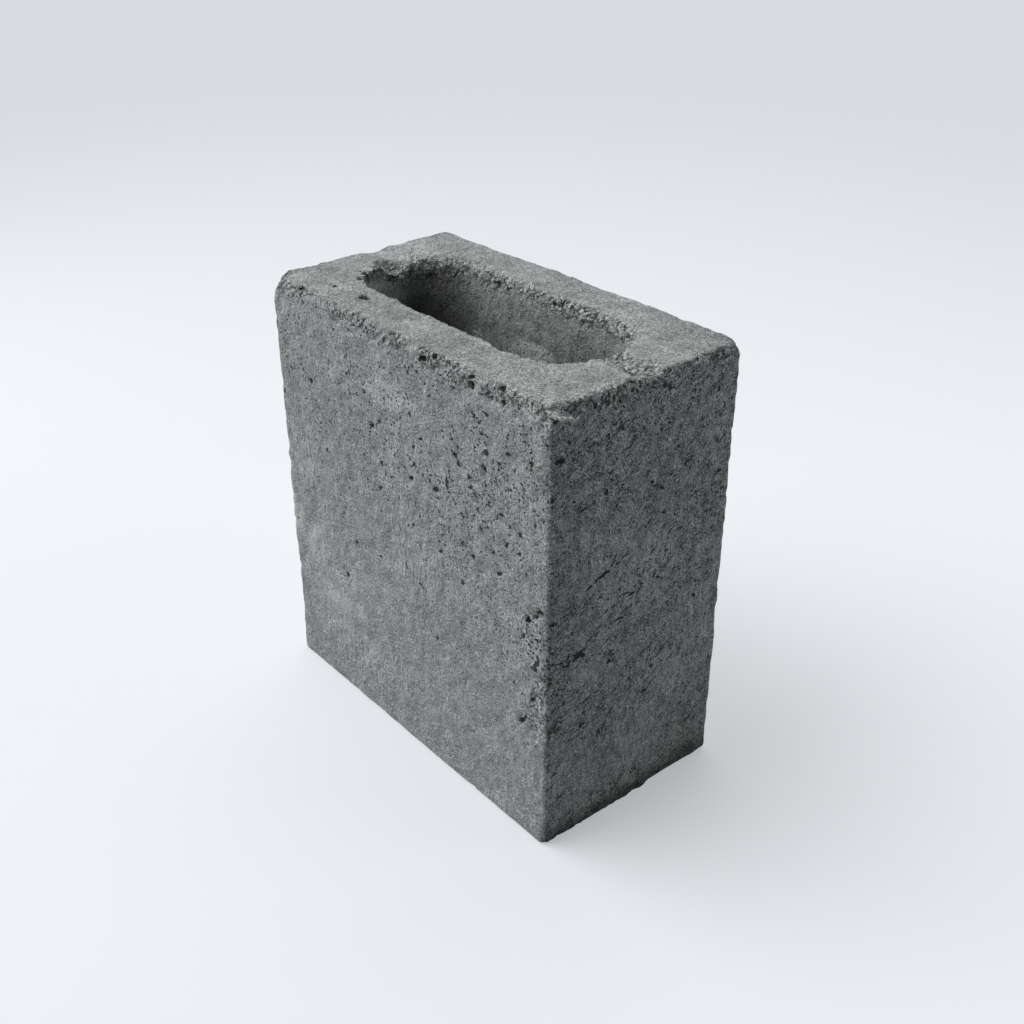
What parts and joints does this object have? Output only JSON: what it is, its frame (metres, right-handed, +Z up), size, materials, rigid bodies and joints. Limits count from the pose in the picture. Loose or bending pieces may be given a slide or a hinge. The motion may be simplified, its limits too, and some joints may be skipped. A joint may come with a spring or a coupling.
{
  "type": "hollow concrete half block",
  "caption": "Hollow concrete half block with rounded upright edges and a tapered oblong core open through both bed faces, laid in mortar in walls and piers.",
  "frame": {"origin": "middle of the bottom bed face, on the floor", "axes": "+X along the block's length, +Y across its width from one face shell to the other, +Z up through the core"},
  "size_m": [0.19, 0.1, 0.2],
  "materials": {
    "concrete": "rough matte, pitted"
  },
  "bodies": {
    "root": {"block": "concrete"}
  },
  "joints": []
}
